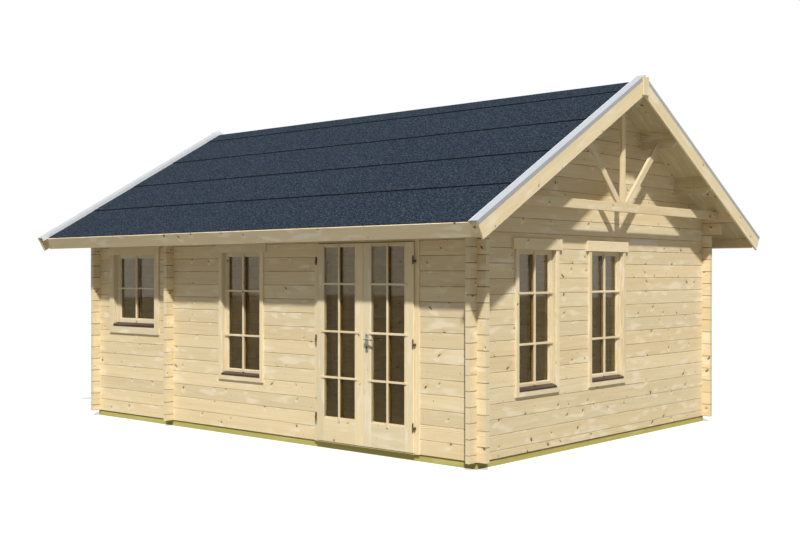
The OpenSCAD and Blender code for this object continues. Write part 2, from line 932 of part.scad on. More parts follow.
long_bearers();
cross_bearers();
floor_boards();
front_wall_left();
front_wall_right();
front_wall_top();
back_wall();
right_gable_wall();
left_gable_wall();
cross_wall();
right_gable_peak();
left_gable_peak();
ridge_purlin();
side_purlins();
tie_beam();
king_post();
truss_braces();
front_roof_boards();
back_roof_boards();
front_felt();
back_felt();
front_fascia();
back_fascia();
verge_upstands();
right_barge_boards();
left_barge_boards();
right_verge_trim();
left_verge_trim();
apex_boards();
door_frame();
frame_hinges();
left_door_leaf();
left_door_glass();
left_leaf_hinges();
right_door_leaf();
right_door_glass();
right_leaf_hinges();
handle_plates();
handle_lever();
tall_window_casings();
small_window_casing();
tall_window_sashes();
small_window_sash();
window_glass();
window_sills();
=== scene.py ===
import math
from functools import partial

import bpy
import numpy as np
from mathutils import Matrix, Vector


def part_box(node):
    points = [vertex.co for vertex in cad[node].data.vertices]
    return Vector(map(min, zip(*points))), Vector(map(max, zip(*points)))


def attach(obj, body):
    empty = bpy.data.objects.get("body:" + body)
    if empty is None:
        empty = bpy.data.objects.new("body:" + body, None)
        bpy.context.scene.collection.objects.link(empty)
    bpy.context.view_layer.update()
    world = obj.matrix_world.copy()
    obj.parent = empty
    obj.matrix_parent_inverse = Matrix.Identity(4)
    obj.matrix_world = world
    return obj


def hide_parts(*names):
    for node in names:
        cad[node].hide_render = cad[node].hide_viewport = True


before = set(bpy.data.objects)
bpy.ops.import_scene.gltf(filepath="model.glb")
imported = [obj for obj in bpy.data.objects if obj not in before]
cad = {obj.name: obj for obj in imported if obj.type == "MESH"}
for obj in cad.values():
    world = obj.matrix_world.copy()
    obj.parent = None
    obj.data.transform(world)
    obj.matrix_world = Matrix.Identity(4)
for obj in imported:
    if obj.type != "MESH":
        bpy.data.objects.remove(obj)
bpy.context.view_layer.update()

# Treated bearers
# Sawn softwood beams and joists, pressure treated to a green yellow, that lie on the ground
# under all the walls. The logs and the floor are nailed down to them.
X, Y, Z = 0, 1, 2
bearer_pale = (0.560, 0.505, 0.160)
bearer_deep = (0.370, 0.325, 0.090)
bearer_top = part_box("long_bearers")[1].z
bearer_knots = 0.35
# Painted shadow: a dark band along the top of each bearer, where the overhanging logs shade it.
log_shadow_band = 0.016
one_course = 3.0


def feed(tree, node, inputs):
    """Fills sockets of a shader node, each by a link or a fixed value. A colour is three numbers."""
    for key, value in inputs.items():
        socket = node.inputs[key]
        if isinstance(value, bpy.types.NodeSocket):
            tree.links.new(value, socket)
        else:
            socket.default_value = (*value, 1.0) if socket.type == "RGBA" else value


def add_node(tree, kind, inputs=None, **settings):
    """One shader node: its settings, then its sockets."""
    made = tree.nodes.new(kind)
    for key, value in settings.items():
        setattr(made, key, value)
    feed(tree, made, inputs or {})
    return made


def calc(tree, operation, a, b=0.0, c=0.0):
    """One number worked out from up to three others."""
    return add_node(tree, "ShaderNodeMath", {0: a, 1: b, 2: c}, operation=operation).outputs[0]


def ramp(tree, value, low, high, out_low=0.0, out_high=1.0):
    """A smooth step of a number between two limits."""
    inputs = {"Value": value, "From Min": low, "From Max": high, "To Min": out_low, "To Max": out_high}
    return add_node(tree, "ShaderNodeMapRange", inputs, interpolation_type="SMOOTHSTEP").outputs[0]


def tint(tree, amount, first, second, blend="MIX"):
    """Two colours mixed by an amount."""
    inputs = {0: amount, 6: first, 7: second}
    made = add_node(tree, "ShaderNodeMix", inputs, data_type="RGBA", blend_type=blend, clamp_factor=True)
    return made.outputs[2]


def coords(tree, kind="Object"):
    """The place, or the normal, of a point in the frame of its object."""
    return add_node(tree, "ShaderNodeTexCoord").outputs[kind]


def split(tree, vector):
    """The three parts of a vector."""
    return add_node(tree, "ShaderNodeSeparateXYZ", {0: vector}).outputs


def join(tree, x, y, z=0.0):
    """A vector from its three parts."""
    return add_node(tree, "ShaderNodeCombineXYZ", {0: x, 1: y, 2: z}).outputs[0]


def grains(tree, vector, stretch, detail=2.0):
    """Noise on a stretched copy of a vector: long streaks where one factor is small."""
    spread = add_node(tree, "ShaderNodeVectorMath", {0: vector, 1: stretch}, operation="MULTIPLY")
    inputs = {"Vector": spread.outputs[0], "Scale": 1.0, "Detail": detail, "Roughness": 0.55}
    return add_node(tree, "ShaderNodeTexNoise", inputs).outputs[0]


def new_group(name, inputs, outputs):
    """An empty shader group with named sockets, and its two end nodes."""
    group = bpy.data.node_groups.new(name, "ShaderNodeTree")
    for way, sockets in (("INPUT", inputs), ("OUTPUT", outputs)):
        for label, kind in sockets:
            group.interface.new_socket(label, in_out=way, socket_type="NodeSocket" + kind)
    return group, group.nodes.new("NodeGroupInput").outputs, group.nodes.new("NodeGroupOutput")


def make_knots(group, axes, cell, low, high, share):
    """Branch knots scattered on a board face, one at most to a cell: the knot, its bent halo, the pale flare
    beside it, which is a painted sheen, and the height above or below its middle."""
    work, fade = partial(calc, group), partial(ramp, group)

    def squares(a, b):
        return work("MULTIPLY_ADD", a, a, work("MULTIPLY", b, b))

    stretch = 0.7
    face = join(group, work("MULTIPLY", axes[X], stretch), axes[Y])
    inputs = {"Vector": face, "Scale": cell}
    cells = add_node(group, "ShaderNodeTexVoronoi", inputs, voronoi_dimensions="2D").outputs
    local = add_node(group, "ShaderNodeVectorMath", {0: face, 1: cells["Position"]}, operation="SUBTRACT")
    along, above = split(group, local.outputs[0])[:2]
    chance = add_node(group, "ShaderNodeSeparateColor", {0: cells["Color"]}).outputs
    grown = work("LESS_THAN", chance[1], share)
    radius = work("MULTIPLY_ADD", work("MULTIPLY", chance[0], chance[0]), high - low, low)
    slant = work("MULTIPLY", work("SUBTRACT", chance[2], 0.5), 1.6)
    leaning = work("MULTIPLY_ADD", above, slant, along)
    reach = work("SQRT", squares(work("MULTIPLY", leaning, 1.35), work("MULTIPLY", above, 0.74)))
    away = work("DIVIDE", reach, radius)
    knot = work("MULTIPLY", fade(away, 1.05, 0.75), grown)
    halo = work("MULTIPLY", fade(away, 4.5, 0.8), grown)
    spread = work("MULTIPLY", radius, 3.2)
    beside = work("DIVIDE", leaning, spread)
    below = work("DIVIDE", work("MULTIPLY_ADD", radius, 3.0, above), spread)
    flare_sheen = work("MULTIPLY", fade(squares(beside, below), 1.0, 0.0), grown)
    return knot, halo, flare_sheen, above


def make_timber_figure():
    """Planed softwood in its own frame, X along the grain: year rings bent round knots, fine streaks,
    a tone for each piece, and ring arcs on the sawn ends."""
    group, given, out = new_group(
        "timber_figure",
        [("Vector", "Vector"), ("Piece", "Float"), ("End", "Float"), ("Pale", "Color"), ("Deep", "Color"),
         ("Knots", "Float")],
        [("Color", "Color"), ("Roughness", "Float"), ("Height", "Float")])
    work, fade, mix, noise = (partial(step, group) for step in (calc, ramp, tint, grains))
    vector_math = partial(add_node, group, "ShaderNodeVectorMath")
    pale, deep, piece = given["Pale"], given["Deep"], given["Piece"]

    def dyed(color, factors):
        return mix(1.0, color, factors, "MULTIPLY")

    def stained(color, mask, strength, second):
        return mix(work("MULTIPLY", mask, strength), color, second)

    ring_wave = 2.0 * math.pi / 0.0075
    arc_wave = 2.0 * math.pi / 0.006
    far = vector_math({0: (61.0, 7.0, 3.0), "Scale": piece}, operation="SCALE").outputs[0]
    vector = vector_math({0: given["Vector"], 1: far}, operation="ADD").outputs[0]
    axes = split(group, vector)
    knot, halo, flare_sheen, above = make_knots(group, axes, 5.2, 0.0055, 0.0150, given["Knots"])
    pin = make_knots(group, axes, 8.7, 0.0022, 0.0050, work("MULTIPLY", given["Knots"], 0.75))[0]
    warp = noise(vector, (0.55, 5.0, 5.0))
    bent = work("MULTIPLY_ADD", warp, 0.12, work("MULTIPLY_ADD", axes[Z], 0.5, axes[Y]))
    bent = work("SUBTRACT", bent, work("MULTIPLY", work("MULTIPLY", halo, above), 0.8))
    rings = fade(work("SINE", work("MULTIPLY", bent, ring_wave)), -0.4, 1.0)
    streaks = noise(vector, (2.5, 160.0, 160.0))
    bands = noise(vector, (1.1, 26.0, 26.0))
    patches = noise(vector, (0.9, 6.0, 6.0))
    figure = work("MULTIPLY", streaks, 0.32)
    for part, weight in ((rings, 0.30), (patches, 0.24), (bands, 0.36)):
        figure = work("MULTIPLY_ADD", part, weight, figure)
    color = mix(fade(figure, 0.36, 0.85), pale, deep)
    warm = work("FRACT", work("MULTIPLY", piece, 7.31))
    color = stained(color, warm, 0.45, dyed(color, (1.04, 0.93, 0.80)))
    shade = work("MULTIPLY_ADD", piece, 0.15, 0.915)
    color = dyed(color, add_node(group, "ShaderNodeCombineColor", {0: shade, 1: shade, 2: shade}).outputs[0])
    bloom = fade(noise(vector, (3.4, 13.0, 13.0), 1.0), 0.54, 0.74)
    color = stained(color, bloom, 0.70, dyed(pale, (1.05, 1.06, 1.18)))
    # Painted sheen: a pale bluish flare beside each knot.
    color = stained(color, flare_sheen, 0.72, dyed(pale, (1.11, 1.14, 1.26)))
    color = stained(color, halo, 0.30, dyed(deep, (0.85, 0.75, 0.55)))
    color = stained(color, work("MAXIMUM", knot, pin), 0.88, dyed(deep, (0.16, 0.13, 0.075)))
    middle = vector_math({0: vector, 1: (0.0, 1.0, 1.0)}, operation="MULTIPLY").outputs[0]
    arcs = vector_math({0: middle}, operation="LENGTH").outputs["Value"]
    arcs = work("SINE", work("MULTIPLY", arcs, arc_wave))
    color = mix(given["End"], color, mix(fade(arcs, -1.0, 1.0, 0.15, 0.65), pale, deep))
    rough = work("MULTIPLY_ADD", streaks, 0.20, 0.50)
    height = work("MULTIPLY_ADD", rings, 0.4, work("MULTIPLY", streaks, 0.6))
    feed(group, out, {"Color": color, "Roughness": work("MULTIPLY_ADD", knot, -0.15, rough),
                      "Height": work("MULTIPLY_ADD", knot, 0.4, height)})
    return group


def make_course_lines():
    """Counts equal courses along one direction: a random tone for each course, and a thin line where two
    meet."""
    group, given, out = new_group(
        "course_lines",
        [("Along", "Float"), ("Start", "Float"), ("Course", "Float"), ("Line", "Float"), ("Seed", "Float")],
        [("Piece", "Float"), ("Seam", "Float")])
    work = partial(calc, group)
    count = work("DIVIDE", work("SUBTRACT", given["Along"], given["Start"]), given["Course"])
    index = work("ADD", work("FLOOR", count), given["Seed"])
    tone = add_node(group, "ShaderNodeTexWhiteNoise", {"W": index}, noise_dimensions="1D").outputs["Value"]
    share = work("FRACT", count)
    edge = work("MINIMUM", share, work("SUBTRACT", 1.0, share))
    near = work("DIVIDE", work("MULTIPLY", edge, given["Course"]), given["Line"])
    feed(group, out, {"Piece": tone, "Seam": ramp(group, near, 1.0, 0.25)})
    return group


timber_figure = make_timber_figure()
course_lines = make_course_lines()


def new_material(name):
    """An empty material and its tree."""
    material = bpy.data.materials.new(name)
    material.use_nodes = True
    return material, material.node_tree


def set_shader(tree, inputs):
    """Fills sockets of the shader of a material."""
    feed(tree, tree.nodes["Principled BSDF"], inputs)


def timber_material(name, pale, deep, knots, read, seam_dark=1.0):
    """Timber whose grain frame comes from a reader: it gives the vector, piece, end mask and seam mask."""
    material, tree = new_material(name)
    vector, piece, end, seam = read(tree)
    inputs = {"Vector": vector, "Piece": piece, "End": end, "Pale": pale, "Deep": deep, "Knots": knots}
    wood = add_node(tree, "ShaderNodeGroup", inputs, node_tree=timber_figure).outputs
    color = wood["Color"]
    if seam is not None:
        dark = [0.30 * part for part in deep]
        color = tint(tree, calc(tree, "MULTIPLY", seam, seam_dark), color, dark)
    relief = add_node(tree, "ShaderNodeBump", {"Height": wood["Height"], "Strength": 0.5, "Distance": 0.0006})
    set_shader(tree, {"Base Color": color, "Roughness": wood["Roughness"], "Normal": relief.outputs[0],
                      "Specular IOR Level": 0.3})
    return material


def course_reader(along, up, thick, start, course, line, seed=0.0, ends_from=1000.0):
    """A reader for stacked pieces in object coordinates: the axes along, up and through the stack, and the
    place from which the free ends of the pieces gape a little."""
    def read(tree):
        work, fade = partial(calc, tree), partial(ramp, tree)
        place = split(tree, coords(tree))
        faces = split(tree, coords(tree, "Normal"))
        side = work("MULTIPLY", work("SIGN", place[thick]), 31.0)
        free = fade(work("ABSOLUTE", place[along]), ends_from - 0.004, ends_from + 0.004)
        inputs = {"Along": place[up], "Start": start, "Course": course,
                  "Line": work("MULTIPLY_ADD", free, 0.35 * line, line), "Seed": work("ADD", side, seed)}
        stack = add_node(tree, "ShaderNodeGroup", inputs, node_tree=course_lines).outputs
        vector = join(tree, place[along], place[up], place[thick])
        end = fade(work("ABSOLUTE", faces[along]), 0.6, 0.9)
        gape = work("MULTIPLY_ADD", free, 0.3, 0.5)
        uneven = fade(grains(tree, vector, (3.2, 7.0, 0.0)), 0.35, 0.65, 0.60, 1.15)
        seam = work("MULTIPLY", stack["Seam"], work("MULTIPLY", gape, uneven))
        return vector, stack["Piece"], end, seam
    return read


def finish_nodes(material, *nodes):
    """Gives CAD nodes their finish."""
    for node in nodes:
        mesh = cad[node].data
        mesh.materials.clear()
        mesh.materials.append(material)


# The line at the bearer top is the painted shadow band under the logs.
long_beam = timber_material("treated_long_beam", bearer_pale, bearer_deep, bearer_knots,
                            course_reader(X, Z, Y, bearer_top, one_course, log_shadow_band))
cross_beam = timber_material("treated_cross_beam", bearer_pale, bearer_deep, bearer_knots,
                             course_reader(Y, Z, X, bearer_top, one_course, log_shadow_band))
finish_nodes(long_beam, "long_bearers")
finish_nodes(cross_beam, "cross_bearers")

# Floor
# Tongued spruce boards that run the length of the cabin, nailed to the joists.
spruce_pale = (0.860, 0.750, 0.510)
spruce_deep = (0.690, 0.545, 0.310)
floor_board_w = 0.096
floor_line = 0.003
floor_wood = timber_material("floor_spruce", spruce_pale, spruce_deep, 0.45,
                             course_reader(X, Y, Z, 0.0, floor_board_w, floor_line))
finish_nodes(floor_wood, "floor_boards")

# Log walls
# Planed spruce logs stacked on edge, with chamfered seams. The gable and cross walls lie half a course
# higher, and the logs are notched into each other at the corners, where their ends stand out.
log_course = 0.135
seam_line = 0.0048
log_knots = 0.50
wall_x = 2.8
wall_y = 2.1
gable_seed = 7.0
long_logs = timber_material("long_wall_logs", spruce_pale, spruce_deep, log_knots,
                            course_reader(X, Z, Y, bearer_top, log_course, seam_line, 0.0, wall_x))
gable_start = bearer_top - log_course / 2
gable_logs = timber_material("gable_wall_logs", spruce_pale, spruce_deep, log_knots,
                             course_reader(Y, Z, X, gable_start, log_course, seam_line, gable_seed, wall_y))
finish_nodes(long_logs, "front_wall_left", "front_wall_right", "front_wall_top", "back_wall")
finish_nodes(gable_logs, "right_gable_wall", "left_gable_wall", "cross_wall", "right_gable_peak",
             "left_gable_peak")

# Purlins
# Planed beams on edge that run through both gables and carry the roof boards out to the verges.
aged_pale = (0.740, 0.690, 0.465)
aged_deep = (0.570, 0.480, 0.275)
purlin_step = 0.70
no_line = 0.0001
purlin_wood = timber_material("purlin_spruce", aged_pale, aged_deep, 0.3,
                              course_reader(X, Y, Z, 0.0, purlin_step, no_line))
finish_nodes(purlin_wood, "ridge_purlin", "side_purlins")

# Gable truss
# A tie beam between the eave logs, a king post up to the ridge and two braces, all planed square timber
# with eased edges, screwed together as decoration.
rng = np.random.default_rng(12)


def board_arrays(rows, edge):
    """Boards as a rounded rectangle carried from end to end: every ring has twelve points, three on each
    corner, and four rings make the two eased ends. A row is start, end, width direction, width, thickness
    and the lean of its two ends."""
    start, stop, wide = (np.array([row[i] for row in rows], float) for i in range(3))
    width, thick = (np.array([row[i] for row in rows], float) for i in (3, 4))
    leans = np.array([row[5] if len(row) > 5 else (0.0, 0.0) for row in rows], float)
    run = stop - start
    length = np.linalg.norm(run, axis=1)
    run = run / length[:, None]
    wide = wide / np.linalg.norm(wide, axis=1)[:, None]
    deep = np.cross(run, wide)
    turn = np.radians(np.array([0, 45, 90, 90, 135, 180, 180, 225, 270, 270, 315, 360]))
    corner_w = np.repeat([1, -1, -1, 1], 3)
    corner_t = np.repeat([1, 1, -1, -1], 3)
    ring_r = edge * np.array([0.4, 1.0, 1.0, 0.4])
    w = corner_w * (width[:, None, None] / 2 - edge) + ring_r[None, :, None] * np.cos(turn)
    t = corner_t * (thick[:, None, None] / 2 - edge) + ring_r[None, :, None] * np.sin(turn)
    ease = 0.6 * edge
    station = np.stack([0 * length, 0 * length + ease, length - ease, length], axis=1)
    lean = np.repeat(leans, 2, axis=1)
    x = station[:, :, None] + lean[:, :, None] * w
    points = (start[:, None, None] + x[..., None] * run[:, None, None]
              + w[..., None] * wide[:, None, None] + t[..., None] * deep[:, None, None])
    ends = np.broadcast_to(np.array([1.0, 0.0, 0.0, 1.0])[None, :, None], x.shape)
    pieces = np.broadcast_to(rng.random(len(rows))[:, None, None], x.shape)
    grain = np.stack([x, w, t], axis=-1)
    return points, grain, pieces, ends


def ring_mesh(name, rings, smooth=True):
    """Closed skins through rows of rings: an array of skins, rings, points on a ring and their places."""
    index = np.arange(rings.size // 3).reshape(rings.shape[:3])
    beside = np.roll(index, -1, axis=2)
    sides = np.stack([index[:, :-1], beside[:, :-1], beside[:, 1:], index[:, 1:]], axis=-1).reshape(-1, 4)
    caps = np.concatenate([index[:, 0, ::-1], index[:, -1]], axis=0)
    mesh = bpy.data.meshes.new(name)
    mesh.from_pydata(rings.reshape(-1, 3).tolist(), [], sides.tolist() + caps.tolist())
    if smooth:
        mesh.polygons.foreach_set("use_smooth", np.arange(len(mesh.polygons)) < len(sides))
    return mesh


def keep(mesh, label, values, kind="FLOAT", key="value"):
    """Stores a value of every point for the shader."""
    layer = mesh.attributes.new(label, kind, "POINT")
    layer.data.foreach_set(key, np.ascontiguousarray(values, dtype=np.float32).ravel())


def keep_grain(mesh, grain, pieces, ends):
    """Stores the grain frame, the tone of the piece and the end mask of every point."""
    keep(mesh, "grain", grain, "FLOAT_VECTOR", "vector")
    keep(mesh, "piece", pieces)
    keep(mesh, "end", ends)


def put_in_scene(name, data):
    """An object made of its data, in the scene."""
    made = bpy.data.objects.new(name, data)
    bpy.context.scene.collection.objects.link(made)
    return made


def settle(name, mesh, material, body="cabin", nodes=()):
    """Puts a mesh in the scene as a piece that rides a body, takes a slot and stands for CAD nodes."""
    mesh.materials.append(material)
    mesh.update()
    piece = put_in_scene(name, mesh)
    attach(piece, body)
    if nodes:
        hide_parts(*nodes)


def build_boards(name, rows, material, body="cabin", nodes=(), edge=0.003):
    """One mesh of separate boards, with the grain frame, the piece tone and the end mask on its points."""
    points, grain, pieces, ends = board_arrays(rows, edge)
    mesh = ring_mesh(name, points, smooth=False)
    keep_grain(mesh, grain, pieces, ends)
    settle(name, mesh, material, body, nodes)


def kept(tree, label, socket="Fac"):
    """What the points of a mesh store under a label."""
    return add_node(tree, "ShaderNodeAttribute", attribute_name=label).outputs[socket]


def read_board(tree):
    """A reader for built boards: everything comes from the attributes on their points."""
    return kept(tree, "grain", "Vector"), kept(tree, "piece"), kept(tree, "end"), None


spruce_board = timber_material("spruce_board", spruce_pale, spruce_deep, 0.40, read_board)


def box_board(corner, opposite, run, width):
    """A board that fills the box between two corners, with its grain along one axis and its width along
    another."""
    low, high = np.minimum(corner, opposite), np.maximum(corner, opposite)
    start = (low + high) / 2
    stop = start.copy()
    start[run], stop[run] = low[run], high[run]
    size = high - low
    return start, stop, np.eye(3)[width], size[width], size[3 - run - width]


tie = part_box("tie_beam")
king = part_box("king_post")
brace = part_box("truss_braces")
truss_middle = (tie[0].x + tie[1].x) / 2
truss_thick = tie[1].x - tie[0].x
post_w = king[1].y - king[0].y
brace_foot = king[1].y + post_w * math.sqrt(0.5)
brace_reach = brace[1].y - brace_foot
truss_rows = [box_board(*tie, Y, Z), box_board(*king, Z, Y)]
for side in (-1, 1):
    foot = (truss_middle, side * brace_foot, tie[1].z)
    head = (truss_middle, side * brace[1].y, tie[1].z + brace_reach)
    across = (0.0, 1.0, -side)
    truss_rows.append((foot, head, across, post_w, truss_thick, (side, -side)))
build_boards("gable_truss", truss_rows, spruce_board, nodes=("tie_beam", "king_post", "truss_braces"))

# Roof boards
# Tongued and grooved boards laid from ridge to eave on the purlins, planed below, where they show
# as a ribbed soffit round the overhangs.
pitch = math.radians(29.5)
pitch_cos, pitch_sin = math.cos(pitch), math.sin(pitch)
soffit_board_w = 0.096
soffit_line = 0.004


def slope_reader(board_w, line):
    """A reader for pieces on both slopes: the grain runs from eave to ridge and boards are counted along X."""
    def read(tree):
        work = partial(calc, tree)
        place = split(tree, coords(tree))
        out = work("ABSOLUTE", place[Y])
        down = work("SUBTRACT", work("MULTIPLY", out, pitch_cos), work("MULTIPLY", place[Z], pitch_sin))
        rise = work("MULTIPLY_ADD", out, pitch_sin, work("MULTIPLY", place[Z], pitch_cos))
        inputs = {"Along": place[X], "Start": -8.0, "Course": board_w, "Line": line,
                  "Seed": work("MULTIPLY", work("SIGN", place[Y]), 97.0)}
        stack = add_node(tree, "ShaderNodeGroup", inputs, node_tree=course_lines).outputs
        return join(tree, down, place[X], rise), stack["Piece"], 0.0, stack["Seam"]
    return read


soffit = timber_material("soffit_spruce", aged_pale, aged_deep, 0.25,
                         slope_reader(soffit_board_w, soffit_line), seam_dark=0.12)
finish_nodes(soffit, "front_roof_boards", "back_roof_boards")

# Verges and fascias
# Upstands on edge close the felt at both gables, with barge boards nailed on them and on the purlin ends,
# a short board over each apex, and a fascia along each eave.
roof_low, roof_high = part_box("front_roof_boards")
ridge_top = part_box("front_felt")[1].z
side_names = {-1: "front", 1: "back"}
verge_rise = 0.040
barge_drop = 0.127
barge_t = 0.022
felt_t = 0.004
fascia_w = 0.135
fascia_t = 0.020
upstand_w = 0.066
verge_over = 0.066
apex_t = 0.020
fit = 0.0004


def slope_point(x, side, s, n):
    """The point at a distance s down the slope from the ridge and n square above the felt."""
    return x, side * (s * pitch_cos + n * pitch_sin), ridge_top - s * pitch_sin + n * pitch_cos


def slope_square(side):
    """The direction square to a slope."""
    return 0.0, side * pitch_sin, pitch_cos


def slope_board(x0, x1, side, length, n0, n1):
    """A board down a slope: its width square to the roof, its thickness along X, its upper end plumb at the
    ridge."""
    x, n = (x0 + x1) / 2, (n0 + n1) / 2
    plumb = -math.tan(pitch)
    start, stop = slope_point(x, side, n * plumb, n), slope_point(x, side, length, n)
    return start, stop, slope_square(side), n1 - n0, abs(x1 - x0), (plumb, 0.0)


roof_end = roof_high.x
upstand_in = roof_end - upstand_w
slope_len = (-roof_low.y + felt_t * pitch_sin) / pitch_cos
fascia_s = slope_len + fascia_t
verge_s = fascia_s + verge_over
barge_rows, upstand_rows = {}, []
for end in (-1, 1):
    x0, x1, x2 = end * upstand_in, end * roof_end, end * (roof_end + barge_t)
    barge_rows[end] = [slope_board(x1, x2, side, verge_s, -barge_drop, verge_rise) for side in (-1, 1)]
    upstand_rows += [slope_board(x0, x1, side, fascia_s, fit - felt_t, verge_rise) for side in (-1, 1)]
build_boards("verge_upstand_boards", upstand_rows, spruce_board, nodes=("verge_upstands",))
build_boards("right_barge_pair", barge_rows[1], spruce_board, nodes=("right_barge_boards",))
build_boards("left_barge_pair", barge_rows[-1], spruce_board, nodes=("left_barge_boards",))
# Painted light: the fascias take a paler copy of the board spruce, since the key lamp only grazes them.
fascia_painted_light = timber_material("fascia_spruce_painted_light", (0.940, 0.835, 0.585), (0.800, 0.670, 0.425), 0.40, read_board)
for side, name in side_names.items():
    s, n = slope_len + fit + fascia_t / 2, -felt_t - fascia_w / 2
    start, stop = slope_point(-roof_end, side, s, n), slope_point(roof_end, side, s, n)
    row = (start, stop, slope_square(side), fascia_w, fascia_t)
    build_boards(name + "_fascia_board", [row], fascia_painted_light, nodes=(name + "_fascia",))
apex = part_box("apex_boards")
apex_rows = [box_board((apex[1].x - apex_t, apex[0].y, apex[0].z), apex[1], Z, Y),
             box_board(apex[0], (apex[0].x + apex_t, apex[1].y, apex[1].z), Z, Y)]
build_boards("apex_covers", apex_rows, spruce_board, nodes=("apex_boards",))

# Metal verge trims
# Folded strips of bare light metal over the upstands, with a lip on the face of each barge board and a leg
# down to the felt. The leg is near white as a painted reflection, and the side faces of the lip darker grey as
# painted shade.
metal, tree = new_material("verge_metal")
place = coords(tree)
spangle = grains(tree, place, (30.0, 8.0, 8.0), 3.0)
out_x = calc(tree, "ABSOLUTE", split(tree, place)[X])
face_x = calc(tree, "ABSOLUTE", split(tree, coords(tree, "Normal"))[X])
leg_painted_reflection = ramp(tree, out_x, upstand_in + 0.006, upstand_in)
lip = calc(tree, "MULTIPLY", ramp(tree, face_x, 0.5, 0.8), ramp(tree, out_x, roof_end, roof_end + 0.015))
color = tint(tree, spangle, (0.42, 0.45, 0.50), (0.54, 0.57, 0.62))
# Painted reflection: the leg down to the felt is near white.
color = tint(tree, leg_painted_reflection, color, (0.93, 0.94, 0.96))
# Painted shade: the sideways faces of the lip are a plain darker grey.
color = tint(tree, lip, color, (0.41, 0.415, 0.43))
set_shader(tree, {
    "Base Color": color,
    "Roughness": ramp(tree, spangle, 0.2, 0.8, 0.34, 0.52),
    "Metallic": 0.25,
})
finish_nodes(metal, "right_verge_trim", "left_verge_trim")

# Roofing felt
# Strips of mineral felt rolled out along the roof, each lapped over the one below, with a strip folded
# over the ridge. Blue black slate granules are pressed into the bitumen.
lap_s = (0.230, 0.885, 1.574, 2.225)
felt_edge = 0.0035
felt_x = upstand_in - 0.0024
# A dark band below each lap edge: partly the dark bitumen edge of the lap, partly painted shade.
lap_shade_w = 0.019
lap_shade_fade = 0.003
lap_round = 0.004


def make_felt():
    """Granules as two sizes of speckle over broad cloudy patches of bitumen."""
    material, tree = new_material("roof_felt_granules")
    work, mix = partial(calc, tree), partial(tint, tree)
    place = coords(tree)
    fine = add_node(tree, "ShaderNodeTexVoronoi", {"Vector": place, "Scale": 330.0})
    flake = add_node(tree, "ShaderNodeSeparateColor", {0: fine.outputs["Color"]}).outputs
    coarse = grains(tree, place, (62.0, 62.0, 62.0), 4.0)
    cloud = grains(tree, place, (1.6, 3.0, 3.0), 3.0)
    color = mix(flake[0], (0.010, 0.016, 0.025), (0.034, 0.048, 0.070))
    color = mix(ramp(tree, coarse, 0.50, 0.68), color, (0.082, 0.105, 0.138))
    color = mix(ramp(tree, coarse, 0.48, 0.34), color, (0.005, 0.009, 0.015))
    color = mix(work("MULTIPLY", cloud, 0.25), color, (0.014, 0.022, 0.036))
    # Painted shade below each lap edge, with the dark bitumen edge of the lap.
    color = mix(work("MULTIPLY", kept(tree, "lap_shade"), 0.9), color, (0.002, 0.004, 0.008))
    grit = work("MULTIPLY_ADD", coarse, 1.2, work("MULTIPLY", flake[1], 0.8))
    relief = add_node(tree, "ShaderNodeBump", {"Height": grit, "Strength": 0.7, "Distance": 0.002})
    set_shader(tree, {"Base Color": color, "Roughness": 0.92, "Normal": relief.outputs[0],
                      "Specular IOR Level": 0.04})
    return material


felt = make_felt()


def felt_sheet(name, side, stations, heights, lap_shades, low, node):
    """A lapped skin: a stepped profile of distances and heights down the slope, carried along X with a slight
    ripple, and closed by a flat underside."""
    along = np.linspace(-felt_x, felt_x, 97)
    under = np.zeros(len(stations))
    s = np.concatenate([stations, stations[::-1]])
    n = np.concatenate([heights, under + low])
    top = np.concatenate([under + 1, under])
    ripple = 0.0006 * np.sin(along[:, None] * 5.3 + s * 1.7) * np.sin(along[:, None] * 1.9 - s * 4.1)
    _, y, z = slope_point(0.0, side, s, n + ripple * top)
    points = np.stack([np.broadcast_to(along[:, None], y.shape), y, z], axis=-1)
    index = np.arange(y.size).reshape(y.shape)
    beside = np.roll(index, -1, axis=1)
    sides = np.stack([index[:-1], index[1:], beside[1:], beside[:-1]], axis=-1).reshape(-1, 4)
    caps = np.stack([index[0], index[-1, ::-1]])
    if side > 0:
        sides, caps = sides[:, ::-1], caps[:, ::-1]
    mesh = bpy.data.meshes.new(name)
    mesh.from_pydata(points.reshape(-1, 3).tolist(), [], sides.tolist() + caps.tolist())
    keep(mesh, "lap_shade", np.broadcast_to(np.concatenate([lap_shades, under]), y.shape))
    settle(name, mesh, felt, nodes=(node,))


felt_end = fascia_s - fascia_t / 2
steps = np.array(lap_s + (felt_end,))
tops = np.concatenate([[0.0], steps[:-1]])
lap_shade_end = tops + lap_shade_w
stations = np.stack([tops, lap_shade_end, lap_shade_end + lap_shade_fade, steps - lap_round, steps], axis=1).ravel()
heights = np.tile([0.0, 0.0, 0.0, felt_edge, felt_edge - 0.001], len(steps))
lap_shades = np.tile([1.0, 1.0, 0.0, 0.0, 1.0], len(steps))
lap_shades[:2] = lap_shades[-1] = 0.0
for side, name in side_names.items():
    felt_sheet(name + "_felt_strips", side, stations, heights, lap_shades, fit - felt_t, name + "_felt")

